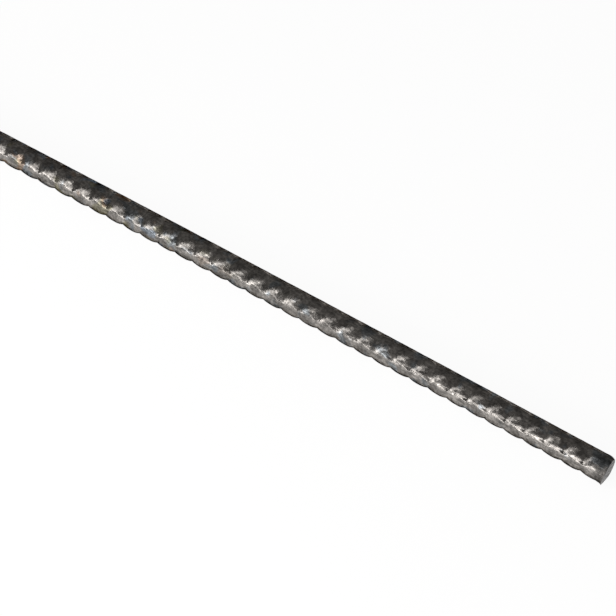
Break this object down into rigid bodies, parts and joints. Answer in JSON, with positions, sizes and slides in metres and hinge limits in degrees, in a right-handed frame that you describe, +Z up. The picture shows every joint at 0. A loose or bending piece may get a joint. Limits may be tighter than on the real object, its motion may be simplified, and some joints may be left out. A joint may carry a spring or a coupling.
{
  "type": "ribbed reinforcing bar",
  "caption": "Ribbed steel reinforcing bar, cold rolled with crescent ribs between smooth lengthwise strips, slightly bowed from its coil and sheared to length.",
  "frame": {"origin": "midway along the bar, on the surface that it lies on, halfway between the two sides of its bow", "axes": "+X along the bar towards the sheared end that the picture shows, +Z up, +Y level across the bar"},
  "size_m": [1, 0.0184, 0.0082],
  "materials": {
    "bar_steel": "as rolled: thin grey-brown mill scale with blue and rust-brown tints, burnished brighter in the valleys and strips that the rollers pressed in"
  },
  "bodies": {
    "root": {"bar": "bar_steel"}
  },
  "joints": []
}
